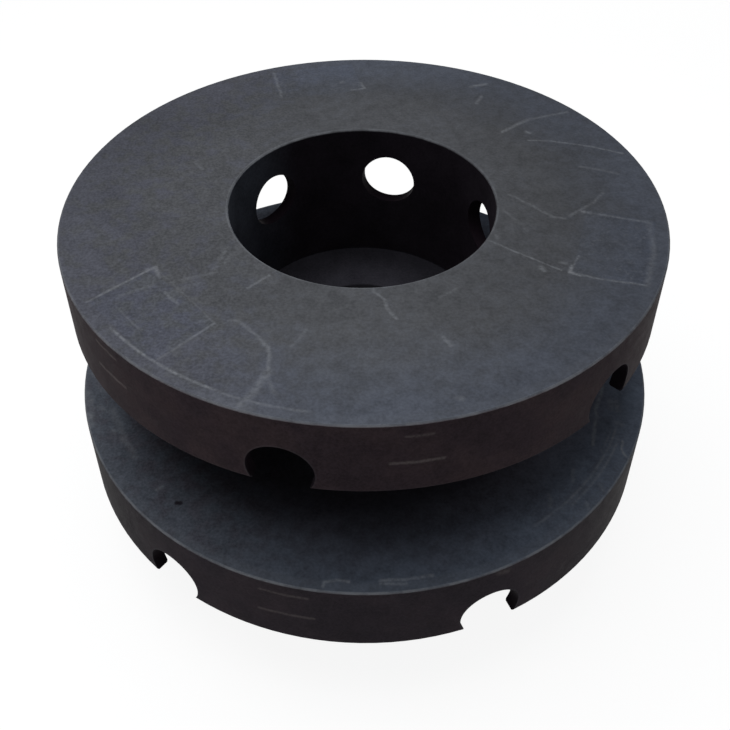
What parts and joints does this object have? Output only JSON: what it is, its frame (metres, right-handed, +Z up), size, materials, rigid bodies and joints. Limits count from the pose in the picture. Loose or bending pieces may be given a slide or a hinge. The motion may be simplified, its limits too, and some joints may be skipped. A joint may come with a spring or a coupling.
{
  "type": "graphite mold",
  "caption": "Graphite mold of stacked round sections: a thin plate with a deep skirt round a short cup, and radial ports through skirt and cup.",
  "frame": {"origin": "where the lower section's axis meets the ground, at the foot's side of its drain hole", "axes": "+Z up along the sections' axes, +Y away from the picture's camera, +X to its right"},
  "size_m": [0.401, 0.421, 0.24],
  "materials": {
    "graphite": "matte, turned"
  },
  "bodies": {
    "root": {"lower_section": "graphite", "upper_section": "graphite"}
  },
  "joints": []
}
